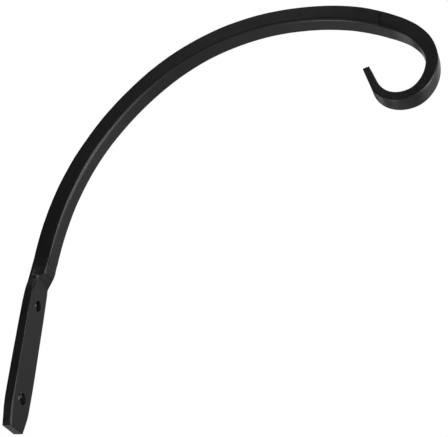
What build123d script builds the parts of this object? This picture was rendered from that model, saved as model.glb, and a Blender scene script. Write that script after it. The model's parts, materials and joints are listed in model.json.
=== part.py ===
from build123d import *

import os
from math import radians, tan

# Hanging plant bracket of square steel bar: a flat strap that screws to the wall, an arch that
# rises and reaches out from it, and a drawn-out hook that curls under the end of the arch.
# Sizes are in millimetres and angles in degrees. The wall face of the strap is the plane X = 0,
# X runs out from the wall, Z is up, and the origin lies on the wall face, midway between the two
# screw holes. Side views are drawn in x and y and stood up in the plane Y = 0.

# Square bar, with its long edges broken
bar_size = 12.7
bar_edge_break = 0.5

# Screw holes
hole_spacing = 69.85
hole_diameter = 7.1
hole_edge_break = 0.45

# Wall strap, from its toe up: a clip, the full width, a taper, a shoulder and the flare in to the bar
strap_thickness = 6.35
strap_width = 26.2
toe_below_low_hole = 21.7
toe_width = 17.6
toe_corner_round_share = 0.1
clip_above_toe = 15.8
clip_round_share = 0.3
taper_below_high_hole = 16.25
taper_round_share = 0.7
shoulder_above_high_hole = 13.25
shoulder_width = 20.8
shoulder_round_share = 0.15
flare_above_shoulder = 16.5
flare_round_share = 0.4

# Step in front of the strap, from its foot to the full bar
step_above_shoulder = 4.4
step_rise = 5.6
step_round_share = 0.48

# Arch, as turns of its outer line from the vertical
bend_above_step = 5.3
neck_angle = 1.8
rise_radius = 225.0
rise_angle = 44.6
crown_radius = 166.6
crown_angle = 67.4

# Hook, as turns of its outer line on from the arch, and its draw-out towards the tip
lead_angle = 1.9
reach_radius = 74.8
reach_angle = 29.3
drop_radius = 36.9
drop_angle = 82.5
cup_radius = 22.9
cup_angle = 114.7
tip_length = 16.5
tip_width = 9.6
tip_thickness = 4.8
taper_steps = 12

# How far a cutting shape runs past what it cuts
overrun = 5.0

toe_z = -hole_spacing / 2 - toe_below_low_hole
clip_z = toe_z + clip_above_toe
taper_z = hole_spacing / 2 - taper_below_high_hole
shoulder_z = hole_spacing / 2 + shoulder_above_high_hole
flare_z = shoulder_z + flare_above_shoulder
step_foot_z = shoulder_z + step_above_shoulder
step_top_z = step_foot_z + step_rise
bend_z = step_top_z + bend_above_step
hook_bends = (
    (crown_radius, lead_angle),
    (reach_radius, reach_angle),
    (drop_radius, drop_angle),
    (cup_radius, cup_angle),
)


def corner_radius(before, corner, after, share):
    """Radius that rounds a corner back by a share of the shorter side beside it."""
    first = Vector(*corner) - Vector(*before)
    second = Vector(*after) - Vector(*corner)
    reach = share * min(first.length, second.length)
    return reach / tan(radians(first.get_angle(second)) / 2)


def rounded_line(points, shares):
    """Edges through the points, with each corner between the ends rounded by its own share."""
    corners = zip(points, points[1:], points[2:], shares)
    radii = [corner_radius(*corner) for corner in corners]
    return FilletPolyline(*points, radius=radii).edges()


def bar_plane(outer_point, heading, thickness):
    """Plane across the bar, centred under a point of its outer line."""
    centre = outer_point + Vector(heading.Y, -heading.X) * (thickness / 2)
    return Plane(
        origin=(centre.X, 0, centre.Y),
        x_dir=(0, 1, 0),
        z_dir=(heading.X, 0, heading.Y),
    )


def neck_arc(inset):
    """Start of the arch's first bend, as far as the joint, at a depth below its outer line."""
    return JernArc((inset, bend_z), (0, 1), rise_radius - inset, -neck_angle)


def strap_side_view():
    """The strap from the side: flat on the wall, and stepping out in front to the full bar."""
    low = toe_z - overrun
    front = rounded_line(
        [
            (strap_thickness, low),
            (strap_thickness, step_foot_z),
            (bar_size, step_top_z),
            (bar_size, bend_z),
        ],
        [step_round_share, step_round_share],
    )
    outer = neck_arc(0)
    inner = neck_arc(bar_size)
    back = Polyline((strap_thickness, low), (0, low), (0, bend_z))
    joint = Line(outer @ 1, inner @ 1)
    return make_face([*back.edges(), outer, joint, inner, *front])


def strap_front_view():
    """The strap from in front: clipped toe, long taper, and the flare in to the bar's width."""
    top = bend_z + rise_radius * radians(neck_angle) + overrun
    side = rounded_line(
        [
            (bar_size / 2, top),
            (bar_size / 2, flare_z),
            (shoulder_width / 2, shoulder_z),
            (strap_width / 2, taper_z),
            (strap_width / 2, clip_z),
            (toe_width / 2, toe_z),
            (0, toe_z),
        ],
        [
            flare_round_share,
            shoulder_round_share,
            taper_round_share,
            clip_round_share,
            toe_corner_round_share,
        ],
    )
    middle = Polyline((0, toe_z), (0, top), (bar_size / 2, top))
    half = make_face([*side, *middle.edges()])
    return half + mirror(half, Plane.YZ)


def screw_hole():
    """Drill along X at the origin, with its edge broken in front of the strap."""
    depth = strap_thickness + 2 * overrun
    drill = Pos(Z=strap_thickness / 2) * Cylinder(hole_diameter / 2, depth)
    chamfer_depth = hole_edge_break + overrun
    edge_break = Pos(Z=strap_thickness - hole_edge_break) * Cone(
        hole_diameter / 2,
        hole_diameter / 2 + chamfer_depth,
        chamfer_depth,
        align=(Align.CENTER, Align.CENTER, Align.MIN),
    )
    return Rot(Y=90) * (drill + edge_break)


def wall_strap():
    """Strap drilled for its screws, with the forged shoulder and the neck of full bar above it."""
    flank = extrude(Plane.XZ * strap_side_view(), strap_width, both=True)
    front = extrude(Plane.YZ * strap_front_view(), 2 * bar_size, both=True)
    body = flank & front
    joint = body.faces().sort_by(Axis.Z)[-1]
    toe = body.faces().sort_by(Axis.Z)[0]
    smooth = body.edges().filter_by(Axis.X) + body.edges().filter_by(Axis.Y) - toe.edges()
    body = chamfer(body.edges() - smooth - joint.edges(), bar_edge_break)
    for side in (-1, 1):
        body -= Pos(Z=side * hole_spacing / 2) * screw_hole()
    return body


def arch_bar():
    """Square bar bent through two tangent arcs."""
    neck = neck_arc(0)
    start = bar_plane(neck @ 1, neck % 1, bar_size)
    middle = neck_arc(bar_size / 2)
    rise = JernArc(middle @ 1, middle % 1, rise_radius - bar_size / 2, neck_angle - rise_angle)
    crown = JernArc(rise @ 1, rise % 1, crown_radius - bar_size / 2, -crown_angle)
    path = Plane.XZ * Wire([rise, crown])
    section = chamfer(Rectangle(bar_size, bar_size).vertices(), bar_edge_break)
    return sweep(start * section, path=path)


def hook_line():
    """The hook's outer line, which ends the arch's crown and bends on three times to the tip."""
    rise = JernArc((0, bend_z), (0, 1), rise_radius, -rise_angle)
    crown = JernArc(rise @ 1, rise % 1, crown_radius, -crown_angle)
    bends = [crown]
    for radius, turn in hook_bends:
        bends.append(JernArc(bends[-1] @ 1, bends[-1] % 1, radius, -turn))
    cup_end = bends[-1] @ 1
    tip = Line(cup_end, cup_end + (bends[-1] % 1) * tip_length)
    return Wire([*bends[1:], tip])


def hook_side_view(outer):
    """The hook from the side, its thickness drawn out evenly from the bar's to the tip's."""
    points = []
    for step in range(taper_steps + 1):
        share = step / taper_steps
        thickness = bar_size + (tip_thickness - bar_size) * share
        heading = outer.tangent_at(share)
        points.append(outer.position_at(share) + Vector(heading.Y, -heading.X) * thickness)
    inner = Spline(points, tangents=(outer % 0, outer % 1))
    root = Line(outer @ 0, inner @ 0)
    tip = Line(outer @ 1, inner @ 1)
    return make_face([*outer.edges(), tip, inner, root])


def tip_narrowing(outer):
    """What comes off one side, seen from above: nothing at the foot of the cup, most at the tip."""
    foot = outer.edges()[-2].arc_center.X
    tip = outer @ 1
    edge = TangentArc((foot, bar_size / 2), (tip.X, tip_width / 2), tangent=(-1, 0))
    beyond = Line(edge @ 1, (edge @ 1) + (edge % 1) * overrun)
    far = beyond @ 1
    outside = Polyline(far, (far.X, bar_size), (foot, bar_size), (foot, bar_size / 2))
    depth = overrun + tip.Y - bend_z
    return Pos(Z=bend_z) * extrude(make_face([edge, beyond, *outside.edges()]), depth)


def end_edges(body, outer_point, heading, thickness):
    """Edges of the flat face that closes a bar at a point of its outer line."""
    centre = bar_plane(outer_point, heading, thickness).origin
    return body.faces().sort_by_distance(centre)[0].edges()


def hook_curl():
    """Bar drawn out to a thin square-cut tip, narrowed at its sides and curled in under the arch."""
    outer = hook_line()
    body = extrude(Plane.XZ * hook_side_view(outer), bar_size / 2, both=True)
    narrowing = tip_narrowing(outer)
    body -= narrowing
    body -= mirror(narrowing, Plane.XZ)
    root = end_edges(body, outer @ 0, outer % 0, bar_size)
    tip = end_edges(body, outer @ 1, outer % 1, tip_thickness)
    smooth = body.edges().filter_by(Axis.Y) + body.edges().filter_by(Axis.Z)
    return chamfer(body.edges() - smooth - root - tip, bar_edge_break)


nodes = {
    "wall_strap": wall_strap(),
    "arch_bar": arch_bar(),
    "hook_curl": hook_curl(),
}
os.makedirs("parts", exist_ok=True)
for name, shape in nodes.items():
    export_step(shape, f"parts/{name}.step")
    print(name, "volume", round(shape.volume), "mm3")
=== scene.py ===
import json
import math

import bmesh
import bpy
from mathutils import Matrix, Vector, noise


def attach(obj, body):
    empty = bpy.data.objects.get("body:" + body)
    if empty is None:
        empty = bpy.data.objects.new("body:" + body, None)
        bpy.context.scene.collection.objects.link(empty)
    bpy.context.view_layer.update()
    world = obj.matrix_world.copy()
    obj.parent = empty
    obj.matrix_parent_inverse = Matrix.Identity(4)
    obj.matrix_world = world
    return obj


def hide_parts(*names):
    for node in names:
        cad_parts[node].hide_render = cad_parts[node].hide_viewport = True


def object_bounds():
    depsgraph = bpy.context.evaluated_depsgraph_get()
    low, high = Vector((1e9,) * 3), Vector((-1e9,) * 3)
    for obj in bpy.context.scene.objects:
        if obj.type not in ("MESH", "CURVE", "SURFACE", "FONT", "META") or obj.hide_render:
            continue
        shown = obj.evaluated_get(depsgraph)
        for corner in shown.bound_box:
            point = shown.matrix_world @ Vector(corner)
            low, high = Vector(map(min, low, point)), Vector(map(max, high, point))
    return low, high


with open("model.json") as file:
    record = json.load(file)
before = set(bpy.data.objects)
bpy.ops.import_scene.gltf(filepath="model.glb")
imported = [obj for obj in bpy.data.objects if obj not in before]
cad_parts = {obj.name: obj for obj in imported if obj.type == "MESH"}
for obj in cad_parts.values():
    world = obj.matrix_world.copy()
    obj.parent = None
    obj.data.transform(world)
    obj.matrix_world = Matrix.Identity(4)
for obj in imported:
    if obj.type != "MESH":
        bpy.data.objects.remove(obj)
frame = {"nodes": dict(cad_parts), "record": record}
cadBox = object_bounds()
print("frame loaded:", ", ".join(sorted(frame["nodes"])))

mm = 0.001
mounts = {mount["name"]: mount for mount in frame["record"]["mounts"]}
screws = mounts["wall_screws"]["dims"]  # spacing and radius of the two holes, in mm


# the outer line, from the strap's toe up the wall, over the arch and round the hook to its tip
line = {
    "toe": -56.625 * mm,  # height of the toe, measured from midway between the screw holes
    "strapRun": 120.1 * mm,  # straight up the wall
    "bends": [  # radius and turn of each bend, in order
        (225.0 * mm, 44.6),
        (166.6 * mm, 69.3),
        (74.8 * mm, 29.3),
        (36.9 * mm, 82.5),
        (22.9 * mm, 114.7),
    ],
    "tipRun": 16.5 * mm,
    "neckTurn": 1.8,  # of the first bend, still part of the strap
    "leadTurn": 1.9,  # of the second bend, already part of the hook
}
bar = {
    "size": 12.7 * mm,
    "nearSide": 6.4 * mm,  # half widths, with the coat
    "farSide": 6.6 * mm,
    # radius of the near outer, far inner and far outer edges; the near inner one has a table per piece
    "edges": [0.55 * mm, 0.8 * mm, 0.8 * mm],
    "leastEdge": 0.1 * mm,
    "cornerSteps": 6,
    "sideSteps": 14,
    "sharpAngle": 38,  # degrees between two faces, from which their edge shows sharp
}


def outerLine(distance):
    # place and heading on the outer line; the heading is an angle from straight up, leaning out
    x, z, heading = 0.0, line["toe"], 0.0
    straight = min(distance, line["strapRun"])
    z += straight
    distance -= straight
    for radius, turn in line["bends"]:
        angle = min(distance / radius, math.radians(turn))
        if angle <= 0:
            return x, z, heading
        x += radius * (math.cos(heading) - math.cos(heading + angle))
        z += radius * (math.sin(heading + angle) - math.sin(heading))
        heading += angle
        distance -= radius * angle
    x += max(distance, 0) * math.sin(heading)
    z += max(distance, 0) * math.cos(heading)
    return x, z, heading


def bendLength(index):
    radius, turn = line["bends"][index]
    return radius * math.radians(turn)


archStart = line["strapRun"] + line["bends"][0][0] * math.radians(line["neckTurn"])
crownEnd = line["strapRun"] + bendLength(0) + bendLength(1)
archEnd = crownEnd - line["bends"][1][0] * math.radians(line["leadTurn"])
hookEnd = crownEnd + bendLength(2) + bendLength(3) + bendLength(4) + line["tipRun"]


def portion(value):
    return max(0.0, min(1.0, value))


def softLine(x, points):
    # straight runs through (place, value, rounding), with each corner rounded that far to both sides
    value = points[0][1]
    slopes = []
    for (x0, y0, _), (x1, y1, _) in zip(points, points[1:]):
        slope = (y1 - y0) / (x1 - x0)
        slopes.append(slope)
        value += slope * (min(max(x, x0), x1) - x0)
    slopes = [0.0] + slopes + [0.0]
    for (place, _, reach), before, after in zip(points, slopes, slopes[1:]):
        if abs(x - place) < reach:
            value += (after - before) * (reach - abs(x - place)) ** 2 / (4 * reach)
    return value


def sizesAt(place, tables):
    return {name: softLine(place, points) * mm for name, points in tables.items()}


def roundedSection(corners, radii, inset, sideSteps):
    # points around a four-sided section, anticlockwise, each corner rounded by its own radius
    count = len(corners)
    rounds = []
    for i, corner in enumerate(corners):
        before, after = corners[i - 1], corners[(i + 1) % count]
        toBefore = (before - corner).normalized()
        toAfter = (after - corner).normalized()
        half = toBefore.angle(toAfter) / 2
        radius = max(radii[i] - inset, bar["leastEdge"])
        middle = corner + (toBefore + toAfter).normalized() * (radius / math.sin(half))
        arm = corner + toBefore * (radius / math.tan(half)) - middle
        arc = []
        for step in range(bar["cornerSteps"] + 1):
            angle = (math.pi - 2 * half) * step / bar["cornerSteps"]
            turned = Vector((
                arm.x * math.cos(angle) - arm.y * math.sin(angle),
                arm.x * math.sin(angle) + arm.y * math.cos(angle),
            ))
            arc.append(middle + turned)
        rounds.append(arc)
    points = []
    for i, arc in enumerate(rounds):
        points += arc
        following = rounds[(i + 1) % count][0]
        for step in range(1, sideSteps):
            points.append(arc[-1].lerp(following, step / sideSteps))
    return points


def skin(name, rings):
    # closed tube of quads through the rings, with a flat face at each end
    mesh = bmesh.new()
    made = [[mesh.verts.new(point) for point in ring] for ring in rings]
    size = len(rings[0])
    for lower, upper in zip(made, made[1:]):
        for i in range(size):
            j = (i + 1) % size
            mesh.faces.new((lower[i], lower[j], upper[j], upper[i]))
    mesh.faces.new(list(reversed(made[0])))
    mesh.faces.new(made[-1])
    bmesh.ops.recalc_face_normals(mesh, faces=mesh.faces)
    data = bpy.data.meshes.new(name)
    mesh.to_mesh(data)
    mesh.free()
    piece = bpy.data.objects.new(name, data)
    bpy.context.scene.collection.objects.link(piece)
    return piece


hammer = {
    "depth": 0.11 * mm,  # how far the forged faces wander
    "length": 21.0 * mm,  # from swell to swell
    "fineDepth": 0.035 * mm,
    "fineLength": 6.5 * mm,
    "fineShift": Vector((7.1, 3.3, 5.7)),  # sets the small marks apart from the swells
    "jointFade": 6 * mm,  # both die out over this length before a joint, so that the pieces meet
}


def forged(point, outward, amount):
    # a point pushed in or out by the hammer's slow swells and small marks, but not out of the CAD's box
    slow = noise.noise(point / hammer["length"]) * hammer["depth"]
    fine = noise.noise(point / hammer["fineLength"] + hammer["fineShift"]) * hammer["fineDepth"]
    moved = point + outward * (slow + fine) * amount
    lows, highs = cadBox
    return Vector([min(max(value, low), high) for value, low, high in zip(moved, lows, highs)])


def sweptRing(distance, section, amount=1.0, lean=0.0):
    # a section of (depth under the outer line, place across) pairs, set square to the outer line
    x, z, heading = outerLine(distance)
    inward = Vector((math.cos(heading), 0, -math.sin(heading)))
    along = Vector((math.sin(heading), 0, math.cos(heading)))
    place = Vector((x, 0, z))
    middle = sum(section, Vector((0, 0))) / len(section)
    ring = []
    for point in section:
        flat = point - middle
        outward = (inward * flat.x + Vector((0, flat.y, 0))).normalized()
        onBar = place + inward * point.x + along * (lean * point.x) + Vector((0, point.y, 0))
        ring.append(forged(onBar, outward, amount))
    return ring


def stations(start, end, pitch):
    count = max(2, math.ceil((end - start) / pitch))
    return [start + (end - start) * i / count for i in range(count + 1)]


def endRounding(radius, steps):
    # how far the end's edge is drawn in, and along, from the flat end back to the full section
    pairs = []
    for step in range(steps):
        angle = math.pi / 2 * step / steps
        pairs.append((radius * (1 - math.sin(angle)), radius * (1 - math.cos(angle))))
    return pairs


strap = {
    "thickness": 6.35 * mm,
    "pitch": 0.6 * mm,  # from section to section
    "sideSteps": 28,
    "edges": [0.6, 0.8, 0.7],  # as for the bar, in mm
    "edgeChange": (108, 114),  # heights between which they turn into the bar's, in mm
    "toeEdge": 0.9 * mm,
    "toeSteps": 6,
    "toeInset": (0.1, 0.1, 1.0, 1.0),  # shares of the toe's rounding: back, near side, front, far side
    # in mm: height above the toe, half width, depth or radius, and how far the corner is rounded
    "outline": {
        "nearBack": [
            (0, 9.0, 0.1), (15.5, 12.85, 7), (40, 13.1, 8), (70, 13.1, 8), (91, 12.55, 7), (100, 11.75, 3),
            (106.3, 10.05, 2.5), (110.2, 9.45, 0.8), (125.5, 6.7, 2), (127.2, 6.4, 0.1),
        ],
        "farBack": [
            (0, 10.1, 0.1), (13, 13.1, 4), (66, 13.1, 8), (85, 12.6, 8), (104, 11.55, 4), (112, 10.1, 2.5),
            (118, 8.35, 2), (124, 6.65, 3), (127.2, 6.6, 0.1),
        ],
        # how much narrower the front is than the back, on each side
        "nearDrop": [
            (8, 0.0, 4), (20, 1.2, 5), (30, 1.0, 5), (64, 0.8, 8), (82, 0.1, 6), (104, 0.2, 3),
            (108, 0.7, 2), (110.0, 0.9, 0.8), (112.2, 2.2, 0.6), (116, 1.2, 1.5), (124, 0.0, 3),
        ],
        "farDrop": [(109.5, 0.0, 0.8), (113.5, 2.6, 1.2), (118, 1.2, 2), (124, 0.0, 3)],
        "nearDepth": [
            (107, 6.35, 2), (110.9, 6.8, 0.8), (112.7, 11.3, 0.7), (119, 12.0, 2), (127.2, 12.7, 0.1),
        ],
        "farDepth": [
            (0, 6.5, 0.1), (10, 6.95, 6), (28, 7.1, 8), (46, 6.85, 8), (66, 6.5, 8), (108.8, 6.5, 1.4),
            (113.7, 11.1, 1.4), (118, 12.2, 2), (124, 12.7, 2), (127.2, 13.1, 0.1),
        ],
        "outerDepth": [(112, 0.0, 4), (127.2, 0.3, 0.1)],
        # radius of the near front edge, softer at the toe and beside the shoulder
        "nearFrontEdge": [
            (0, 1.7, 0.1), (9, 1.9, 3), (17, 1.0, 4), (36, 0.6, 8), (92, 0.6, 4), (104, 1.8, 4),
            (109, 1.3, 1), (112.7, 1.5, 1), (127.2, 2.0, 0.1),
        ],
    },
    # the bar's near side swells out over the strap: how far, and its share by height and by depth, in mm
    "bulge": {
        "out": 1.1,
        "byHeight": [(109.5, 0.0, 0.4), (110.5, 1.0, 0.5), (117.5, 0.0, 2.5)],
        "byDepth": [(0, 0.0, 0.2), (1.5, 1.0, 1), (4, 0.9, 1.5), (9.6, 0.0, 1.5)],
    },
    # raised by the hammer on the near side at the toe, in mm: how far, its middle and its spread
    "burr": {"out": 0.4, "height": 2.9, "reach": 1.7, "depth": 3.0, "across": 2.2},
    "marksFull": 5 * mm,  # from the middle plane, where they start, to where both are full
}


def strapSection(height, inset):
    place = height / mm
    size = sizesAt(place, strap["outline"])
    atBack, atNear, atFront, atFar = [share * inset for share in strap["toeInset"]]
    corners = [
        Vector((atBack - size["outerDepth"], atNear - size["nearBack"])),
        Vector((size["nearDepth"] - atFront, atNear + size["nearDrop"] - size["nearBack"])),
        Vector((size["farDepth"] - atFront, size["farBack"] - size["farDrop"] - atFar)),
        Vector((atBack - size["outerDepth"], size["farBack"] - atFar)),
    ]
    start, end = strap["edgeChange"]
    toBar = portion((place - start) / (end - start))
    radii = [own * mm + (onBar - own * mm) * toBar for own, onBar in zip(strap["edges"], bar["edges"])]
    radii.insert(1, size["nearFrontEdge"])
    section = roundedSection(corners, radii, inset, strap["sideSteps"])
    bulge, burr = strap["bulge"], strap["burr"]
    swell = softLine(place, bulge["byHeight"])
    upward = (place - burr["height"]) / burr["reach"]
    for point in section:
        if point.y < 0:
            if swell > 0:
                inFace = softLine(point.x / mm, bulge["byDepth"])
                point.y -= bulge["out"] * mm * swell * inFace * portion(-point.y / strap["marksFull"])
            across = (point.x / mm - burr["depth"]) / burr["across"]
            mark = burr["out"] * mm * math.exp(-upward * upward - across * across)
            point.y -= mark * portion(-point.y / strap["marksFull"])
    return section


holes = {
    "size": 2 * screws["hole_r_mm"] * mm,
    "mouthSize": 8.0 * mm,  # where the flare meets the strap's front
    "mouthDepth": 3.0 * mm,  # how far behind the front the flare is cut from
    "mouthSlope": 0.3,
    "drillSides": 48,
    "drillOver": 4 * mm,  # how far the drill runs past the strap
    "lipSpread": 0.5,  # radians round the hole
    "lipReach": 8.0 * mm,  # how far round the hole the faces are made finer
    "lipSkin": 0.7 * mm,  # how far from the strap's front they may lie
    "lipCuts": 2,
    # in mm: height, how far the mouth lies beside the bore, and the lip that the punch raised on the near
    # side, as distance from the bore's middle, height and rounding, with its turn down in radians
    "each": [
        {
            "height": screws["spacing_y_mm"] / 2, "mouth": (0.3, -0.35), "turn": 0.25,
            "lip": [(3.3, 0.95, 0.2), (4.3, 0.5, 0.3), (5.0, 0.0, 0.3)],
        },
        {
            "height": -screws["spacing_y_mm"] / 2, "mouth": (0.95, 0.2), "turn": -0.1,
            "lip": [(3.4, 1.5, 0.2), (4.6, 1.05, 0.25), (5.6, 0.0, 0.25)],
        },
    ],
}


def drill(name, profile, y, z):
    # a round cutter along X, through (distance from the wall, radius) pairs
    rings = []
    for x, radius in profile:
        ring = []
        for i in range(holes["drillSides"]):
            angle = math.tau * i / holes["drillSides"]
            ring.append((x, y + radius * math.cos(angle), z + radius * math.sin(angle)))
        rings.append(ring)
    return skin(name, rings)


def cutWith(piece, tool):
    cut = piece.modifiers.new("drill", "BOOLEAN")
    cut.operation = "DIFFERENCE"
    cut.solver = "EXACT"
    cut.object = tool
    bpy.context.view_layer.update()
    seen = piece.evaluated_get(bpy.context.evaluated_depsgraph_get())
    data = bpy.data.meshes.new_from_object(seen)
    piece.modifiers.clear()
    piece.data = data
    data.name = piece.name
    bpy.data.objects.remove(tool)


def raiseLip(piece, hole):
    # finer faces round a screw hole, and the lip on its near side
    mesh = bmesh.new()
    mesh.from_mesh(piece.data)
    height = hole["height"] * mm

    def isNear(vert):
        aside = math.hypot(vert.co.y, vert.co.z - height)
        return abs(vert.co.x - strap["thickness"]) < holes["lipSkin"] and aside < holes["lipReach"]

    for _ in range(holes["lipCuts"]):
        edges = [edge for edge in mesh.edges if isNear(edge.verts[0]) and isNear(edge.verts[1])]
        bmesh.ops.subdivide_edges(mesh, edges=edges, cuts=1, use_grid_fill=True)
    for vert in mesh.verts:
        if isNear(vert):
            y, z = vert.co.y, vert.co.z - height
            lip = softLine(math.hypot(y, z) / mm, hole["lip"]) * mm
            aside = (math.atan2(z, -y) + hole["turn"]) / holes["lipSpread"]
            vert.co.x += lip * math.exp(-aside * aside)
    mesh.to_mesh(piece.data)
    mesh.free()


def drillHole(piece, hole):
    # the true bore, and the mouth that the punch flared
    front, over = strap["thickness"], holes["drillOver"]
    radius = holes["size"] / 2
    height = hole["height"] * mm
    cutWith(piece, drill("bore", [(-over, radius), (front + over, radius)], 0.0, height))
    mouth = holes["mouthSize"] / 2
    depth, slope = holes["mouthDepth"], holes["mouthSlope"]
    flare = [(front - depth, mouth - depth * slope), (front + over, mouth + over * slope)]
    y, z = hole["mouth"]
    cutWith(piece, drill("mouth", flare, y * mm, height + z * mm))


def makeStrap():
    edge = strap["toeEdge"]
    rings = []
    for inset, along in endRounding(edge, strap["toeSteps"]):
        rings.append(sweptRing(along, strapSection(along, inset)))
    for distance in stations(edge, archStart, strap["pitch"]):
        fade = portion((archStart - distance) / hammer["jointFade"])
        rings.append(sweptRing(distance, strapSection(distance, 0.0), fade))
    piece = skin("wallStrap", rings)
    for hole in holes["each"]:
        raiseLip(piece, hole)
        drillHole(piece, hole)
    return piece


wallStrap = makeStrap()
print("strap built:", len(wallStrap.data.vertices), "points")


# how far each long edge of the hand-bent bar stands out from the drawn one, in mm:
# place along the line, how far, and how far the corner between two runs is rounded
outerStray = [  # both outer edges, up to the hook's first bends
    (127, 0.3, 4), (142, 0.15, 8), (170, 0.15, 8), (194, 0.38, 8), (212, 0.42, 6), (226, 0.15, 6),
    (258, 0.33, 8), (284, 0.18, 6), (302, 0.3, 6), (344, 0.33, 6), (358, 0.52, 6), (370, 0.54, 5),
    (380, 0.22, 4), (392, 0.28, 5), (404, 0.13, 5), (428, 0.0, 6), (440, 0.0, 5), (452, 0.38, 5),
    (464, 0.53, 5), (476, 0.61, 5), (489, 0.2, 5), (497, 0.0, 4), (503, -0.2, 3), (510, 0.1, 3),
    (521, 0.6, 5), (530, 0.66, 4),
]
stray = {
    "nearOuter": outerStray + [
        (540, 0.05, 4), (549, -0.3, 4), (563, -0.1, 5), (580, -0.1, 6), (600, -0.7, 8), (617, -0.85, 6),
        (629, -0.62, 5), (640, -0.28, 5), (652, 0.0, 3),
    ],
    "nearInner": [
        (127, 0.0, 4), (140, 0.3, 5), (192, 0.3, 8), (206, 0.0, 6), (222, -0.3, 6), (296, -0.2, 8),
        (312, 0.1, 8), (350, 0.2, 8), (372, 0.15, 6), (386, 0.4, 6), (404, 0.15, 8), (424, 0.3, 8),
        (446, 0.05, 8), (466, -0.3, 8), (489, -0.1, 6), (503, 0.25, 5), (515, 0.0, 5), (527, -0.35, 5),
        (540, 0.1, 5), (549, 0.0, 4), (557, -0.4, 4), (565, 0.0, 4), (587, 0.2, 5), (600, 0.58, 6),
        (614, 0.38, 6), (628, 0.45, 5), (637, 0.05, 4), (652, 0.0, 3),
    ],
    "farInner": [
        (127, 0.4, 4), (142, 0.72, 6), (164, 0.68, 6), (180, 0.5, 6), (196, 0.4, 6), (212, 0.15, 6),
        (246, 0.25, 8), (262, 0.52, 6), (296, 0.68, 10), (332, 0.47, 5), (344, 0.06, 4), (357, 0.2, 5),
        (380, 0.36, 6), (404, 0.5, 6), (428, 0.73, 6), (446, 0.4, 8), (476, 0.2, 6), (490, 0.2, 4),
        (503, 0.8, 4), (515, 0.35, 5), (527, -0.15, 5), (541, -0.25, 5), (552, 0.38, 5), (570, 0.1, 5),
        (587, 0.2, 5), (600, 0.58, 6), (628, 0.45, 6), (637, 0.05, 4), (652, 0.0, 3),
    ],
    "farOuter": outerStray + [
        (544, 0.3, 6), (557, 0.0, 5), (567, 0.05, 5), (584, 0.5, 8), (612, 0.9, 6), (622, 0.25, 4),
        (629, -0.65, 4), (637, -1.05, 4), (652, -0.6, 3),
    ],
}


def barSection(distance, thickness, nearSide, farSide, radii, inset=0.0):
    out = sizesAt(distance / mm, stray)
    corners = [
        Vector((inset - out["nearOuter"], -nearSide + inset)),
        Vector((thickness - inset + out["nearInner"], -nearSide + inset)),
        Vector((thickness - inset + out["farInner"], farSide - inset)),
        Vector((inset - out["farOuter"], farSide - inset)),
    ]
    return roundedSection(corners, radii, inset, bar["sideSteps"])


seam = {
    "depth": 0.6 * mm,  # of the groove where the hook's forging starts, across the near side
    "width": 0.4 * mm,  # to each side of the joint
    "pitch": 0.1 * mm,
    "lean": 0.23,  # how far the cut leans along the bar, for each step down through it
    "leanReach": 18 * mm,
}


def seamLean(distance):
    away = portion(abs(distance - archEnd) / seam["leanReach"])
    return seam["lean"] * (1 - away) ** 2 * (1 + 2 * away)


def grooved(section, distance):
    # the near side drawn in towards the seam between the arch and the hook
    depth = seam["depth"] * (1 - portion(abs(distance - archEnd) / seam["width"]))
    for point in section:
        point.y += depth * portion(-point.y / bar["nearSide"])
    return section


arch = {
    "pitch": 1.0 * mm,
    "nearInnerEdge": [  # its radius, in mm
        (127, 2.0, 4), (150, 2.1, 8), (284, 1.9, 8), (320, 1.7, 10), (420, 1.7, 10), (445, 2.0, 8),
        (491, 1.9, 1),
    ],
}


def makeArch():
    rings = []
    places = stations(archStart, archEnd - 2 * seam["width"], arch["pitch"])
    places += stations(archEnd - seam["width"], archEnd, seam["pitch"])
    for distance in places:
        fade = portion(min(distance - archStart, archEnd - distance) / hammer["jointFade"])
        radii = list(bar["edges"])
        radii.insert(1, softLine(distance / mm, arch["nearInnerEdge"]) * mm)
        section = barSection(distance, bar["size"], bar["nearSide"], bar["farSide"], radii)
        rings.append(sweptRing(distance, grooved(section, distance), fade, seamLean(distance)))
    return skin("archBar", rings)


archBar = makeArch()
print("arch built:", len(archBar.data.vertices), "points")


hook = {
    "pitch": 0.8 * mm,
    "tipLength": 0.9 * mm,  # the tip's square end stands this much past the line's end
    "tipEdge": 0.5 * mm,
    "tipSteps": 4,
    # in mm: place along the hook, size, and how far the corner is rounded
    "outline": {
        "thickness": [
            (0, 12.7, 1), (60, 9.7, 10), (100, 7.75, 8), (112, 7.5, 5), (140, 6.4, 8), (151, 5.7, 4),
            (160.2, 4.95, 1),
        ],
        "nearSide": [(0, 6.4, 1), (110, 6.35, 20), (159.3, 4.8, 1)],
        "farSide": [(0, 6.6, 1), (52, 6.6, 8), (74, 7.6, 8), (96, 7.4, 6), (110, 6.3, 8), (159.3, 4.8, 1)],
        # radius of each long edge
        "nearOuter": [(0, 0.55, 1), (60, 0.6, 10), (90, 1.1, 10), (130, 1.1, 10), (159.3, 0.7, 1)],
        "nearInner": [(0, 0.9, 1), (60, 0.8, 8), (159.3, 0.6, 1)],
        "farInner": [(0, 0.8, 1), (22, 0.9, 6), (36, 2.3, 6), (70, 2.0, 10), (159.3, 0.8, 1)],
        "farOuter": [
            (0, 0.8, 1), (60, 0.8, 8), (96, 1.0, 8), (124, 2.1, 10), (150, 1.6, 6), (159.3, 1.0, 1),
        ],
        # hammered bevel along the near lower edge
        "bevelWidth": [(0, 4.6, 1), (16, 4.2, 4), (36, 1.8, 5), (46, 1.0, 4)],
        "bevelDepth": [(0, 1.15, 1), (14, 1.0, 4), (34, 0.25, 6), (44, 0.0, 4)],
    },
}


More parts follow.
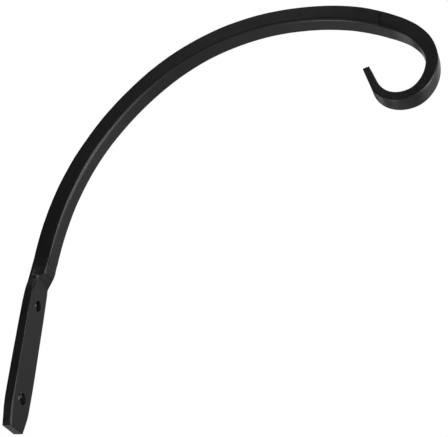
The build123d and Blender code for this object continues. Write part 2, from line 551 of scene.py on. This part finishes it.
def hookSection(distance, inset):
    size = sizesAt((distance - archEnd) / mm, hook["outline"])
    radii = [size["nearOuter"], size["nearInner"], size["farInner"], size["farOuter"]]
    section = barSection(distance, size["thickness"], size["nearSide"], size["farSide"], radii, inset)
    bevelStart = size["thickness"] - size["bevelWidth"]
    for point in section:
        under = portion((point.x - bevelStart) / size["bevelWidth"])
        point.y += size["bevelDepth"] * under * portion(-point.y / size["nearSide"])
    return section


def makeHook():
    tip = hookEnd + hook["tipLength"]
    rings = []
    places = stations(archEnd, archEnd + seam["width"], seam["pitch"])
    places += stations(archEnd + 2 * seam["width"], tip - hook["tipEdge"], hook["pitch"])
    for distance in places:
        fade = portion((distance - archEnd) / hammer["jointFade"])
        section = grooved(hookSection(distance, 0.0), distance)
        rings.append(sweptRing(distance, section, fade, seamLean(distance)))
    for inset, along in reversed(endRounding(hook["tipEdge"], hook["tipSteps"])):
        distance = tip - along
        rings.append(sweptRing(distance, hookSection(distance, inset)))
    return skin("hookCurl", rings)


hookCurl = makeHook()
print("hook built:", len(hookCurl.data.vertices), "points")


class Socket:
    # a shader value that can be used in sums
    def __init__(self, tree, output):
        self.tree = tree
        self.output = output

    def maths(self, operation, first, second):
        return self.tree.add("ShaderNodeMath", {"operation": operation}, {0: first, 1: second})

    def __add__(self, other):
        return self.maths("ADD", self, other)

    __radd__ = __add__

    def __sub__(self, other):
        return self.maths("SUBTRACT", self, other)

    def __rsub__(self, other):
        return self.maths("SUBTRACT", other, self)

    def __mul__(self, other):
        return self.maths("MULTIPLY", self, other)

    __rmul__ = __mul__


class Tree:
    # the nodes of a material or the world, emptied first
    def __init__(self, owner):
        owner.use_nodes = True
        self.nodes = owner.node_tree.nodes
        self.links = owner.node_tree.links
        self.nodes.clear()

    def add(self, kind, settings=None, sockets=None, output=0):
        # the settings come first, then the values and links of the sockets
        node = self.nodes.new(kind)
        for name, value in (settings or {}).items():
            setattr(node, name, value)
        for name, value in (sockets or {}).items():
            if isinstance(value, Socket):
                self.links.new(value.output, node.inputs[name])
            else:
                node.inputs[name].default_value = value
        return Socket(self, node.outputs[output]) if node.outputs else None


coat = {
    "slot": "black_coat",
    "colour": (0.0039, 0.0040, 0.0043, 1.0),
    "dustColour": (0.0116, 0.0119, 0.0128, 1.0),
    "ior": 1.5,
    "roughness": 0.33,
    "patchSpread": 0.10,  # how far the patches and the grain spread the roughness
    "grainSpread": 0.08,
    "swellDepth": 0.035 * mm,
    "grainDepth": 0.03 * mm,
    # size of the marks, detail and roughness of each noise
    "grain": (1.1 * mm, 3.0, 0.6),
    "swell": (4.5 * mm, 2.0, 0.5),
    "patches": (15 * mm, 4.0, 0.6),
}


def powderCoat():
    material = bpy.data.materials.new("blackPowderCoat")
    tree = Tree(material)
    place = tree.add("ShaderNodeTexCoord", output="Object")

    def marks(name):
        size, detail, roughness = coat[name]
        return tree.add("ShaderNodeTexNoise", {}, {
            "Vector": place, "Scale": 1 / size, "Detail": detail, "Roughness": roughness,
        })

    grain, swell, patches = marks("grain"), marks("swell"), marks("patches")
    colour = tree.add("ShaderNodeMix", {"data_type": "RGBA"}, {
        "Factor": grain * patches, 6: coat["colour"], 7: coat["dustColour"],
    }, output=2)
    roughness = coat["roughness"] + (patches - 0.5) * coat["patchSpread"]
    roughness = roughness + (grain - 0.5) * coat["grainSpread"]
    low = tree.add("ShaderNodeBump", {}, {
        "Strength": 1.0, "Distance": coat["swellDepth"], "Height": swell,
    })
    fine = tree.add("ShaderNodeBump", {}, {
        "Strength": 1.0, "Distance": coat["grainDepth"], "Height": grain, "Normal": low,
    })
    surface = tree.add("ShaderNodeBsdfPrincipled", {}, {
        "Base Color": colour, "Roughness": roughness, "Normal": fine, "IOR": coat["ior"],
    })
    tree.add("ShaderNodeOutputMaterial", {}, {"Surface": surface})
    return material


def finishShading(piece):
    for polygon in piece.data.polygons:
        polygon.use_smooth = True
    piece.data.set_sharp_from_angle(angle=math.radians(bar["sharpAngle"]))


coatMaterial = powderCoat()
for piece, node in ((wallStrap, "wall_strap"), (archBar, "arch_bar"), (hookCurl, "hook_curl")):
    piece.data.materials.clear()
    piece.data.materials.append(coatMaterial)
    finishShading(piece)
    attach(piece, "root")
    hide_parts(node)
print("coat applied")


studio = {
    "white": (1.0, 1.0, 1.0, 1.0),
    "floorDrop": 1.35,  # metres below the screw holes
    "floorSize": 30.0,
    "floorColour": (0.82, 0.82, 0.82, 1.0),
    "floorLift": 0.75,  # how far the floor goes to its plain colour, unlit, for the camera
    "floorGloss": 0.04,  # and for the bracket's gloss
    "evenLight": 0.3,  # the soft light from all round, as matt surfaces see it
    "dimRoom": 0.01,  # the room as the gloss sees it, away from the backdrop
    "backdrop": Vector((-0.146, 0.826, 0.545)),  # where the white backdrop stands, seen from the bracket
    "backdropEdge": (0.90, 1.0),
    "lampColour": (0.97, 0.95, 1.0),
    "lampAim": Vector((0.14, 0.0, 0.1)),
    "lampDistance": 1.4,
    # azimuth from straight in front and elevation, in degrees, then width and power
    "lamps": {
        "rightLow": (81, -8, 1.24, 9.20),
        "rightBack": (113, -3, 0.54, 3.80),
        "rightRear": (138, 22, 0.54, 0.16),
        "rightRearWash": (138, 22, 1.24, 0.84),
        "rightBackWash": (125, 9, 1.24, 0.63),
        "rearHigh": (150, 36, 0.54, 0.24),
        "frontRight": (40, 12, 0.72, 7.6),
        "frontLow": (-25, -2, 0.54, 0.19),
        "frontHigh": (-20, 32, 0.54, 0.19),
        "frontRightHigh": (40, 36, 0.54, 1.6),
        "leftBack": (-122, -17, 0.54, 0.8),
        "leftRear": (-144, 3, 0.54, 0.65),
        "rearLow": (-168, -36, 1.24, 0.30),
        "top": (-27, 61, 0.54, 1.40),
        "fromBelow": (-127, -59, 0.54, 4.52),
    },
}


def rayKinds(tree):
    # 1 for a ray straight from the camera, off gloss, or through glass
    kinds = ("Is Camera Ray", "Is Glossy Ray", "Is Transmission Ray")
    return [tree.add("ShaderNodeLightPath", output=kind) for kind in kinds]


def makeWorld():
    world = bpy.data.worlds.new("studio")
    bpy.context.scene.world = world
    tree = Tree(world)
    isCamera, isGlossy, isTransmission = rayKinds(tree)
    direction = tree.add("ShaderNodeTexCoord", output="Generated")
    toBackdrop = tree.add("ShaderNodeVectorMath", {"operation": "DOT_PRODUCT"}, {
        0: direction, 1: studio["backdrop"].normalized(),
    }, output="Value")
    edge, full = studio["backdropEdge"]
    behind = tree.add("ShaderNodeMapRange", {"interpolation_type": "SMOOTHSTEP"}, {
        "Value": toBackdrop, "From Min": edge, "From Max": full,
    })
    showsWhite = isCamera + (isGlossy + isTransmission) * behind
    roomLevel = studio["evenLight"] + isGlossy * (studio["dimRoom"] - studio["evenLight"])
    room = tree.add("ShaderNodeBackground", {}, {"Color": studio["white"], "Strength": roomLevel})
    white = tree.add("ShaderNodeBackground", {}, {"Color": studio["white"], "Strength": 1.0})
    mixed = tree.add("ShaderNodeMixShader", {}, {0: showsWhite, 1: room, 2: white})
    tree.add("ShaderNodeOutputWorld", {}, {"Surface": mixed})


def makeFloor():
    half = studio["floorSize"] / 2
    data = bpy.data.meshes.new("floor")
    corners = [(-half, -half), (half, -half), (half, half), (-half, half)]
    data.from_pydata([(x, y, -studio["floorDrop"]) for x, y in corners], [], [(0, 1, 2, 3)])
    floor = bpy.data.objects.new("floor", data)
    bpy.context.scene.collection.objects.link(floor)
    material = bpy.data.materials.new("floorPaint")
    tree = Tree(material)
    isCamera, isGlossy, isTransmission = rayKinds(tree)
    paint = tree.add("ShaderNodeBsdfDiffuse", {}, {"Color": studio["floorColour"]})
    plain = tree.add("ShaderNodeEmission", {}, {"Color": studio["floorColour"], "Strength": 1.0})
    lift = isCamera * studio["floorLift"] + (isGlossy + isTransmission) * studio["floorGloss"]
    mixed = tree.add("ShaderNodeMixShader", {}, {0: lift, 1: paint, 2: plain})
    tree.add("ShaderNodeOutputMaterial", {}, {"Surface": mixed})
    data.materials.append(material)


def makeLamps():
    for name, (azimuth, elevation, width, power) in studio["lamps"].items():
        light = bpy.data.lights.new(name, "AREA")
        light.shape = "DISK"
        light.size = width
        light.energy = power
        light.color = studio["lampColour"]
        lamp = bpy.data.objects.new(name, light)
        lamp.visible_camera = False
        bpy.context.scene.collection.objects.link(lamp)
        a, e = math.radians(azimuth), math.radians(elevation)
        away = Vector((math.sin(a) * math.cos(e), -math.cos(a) * math.cos(e), math.sin(e)))
        lamp.location = studio["lampAim"] + away * studio["lampDistance"]
        lamp.rotation_euler = away.to_track_quat("Z", "Y").to_euler()


makeWorld()
makeFloor()
makeLamps()
print("studio lit")


view = {
    "place": Vector((0.3794, -0.7057, -0.3092)),
    "aim": Vector((0.13815, 0.0, 0.09591)),
    "roll": 5.577,  # degrees, clockwise as the picture sees it
    "lens": 97.51,  # mm, as is the sensor
    "sensor": 36.0,
    "reach": (0.05, 100.0),  # nearest and farthest that is seen, in metres
}


def makeCamera():
    data = bpy.data.cameras.new("camera")
    data.lens = view["lens"]
    data.sensor_width = view["sensor"]
    data.clip_start, data.clip_end = view["reach"]
    camera = bpy.data.objects.new("camera", data)
    bpy.context.scene.collection.objects.link(camera)
    forward = (view["aim"] - view["place"]).normalized()
    level = forward.cross(Vector((0, 0, 1))).normalized()
    up = level.cross(forward)
    roll = math.radians(view["roll"])
    right = level * math.cos(roll) + up * math.sin(roll)
    up = right.cross(forward)
    turned = Matrix((right, up, -forward)).transposed().to_4x4()
    camera.matrix_world = Matrix.Translation(view["place"]) @ turned
    bpy.context.scene.camera = camera


makeCamera()
bpy.context.scene.view_settings.view_transform = "Standard"
print("camera set")
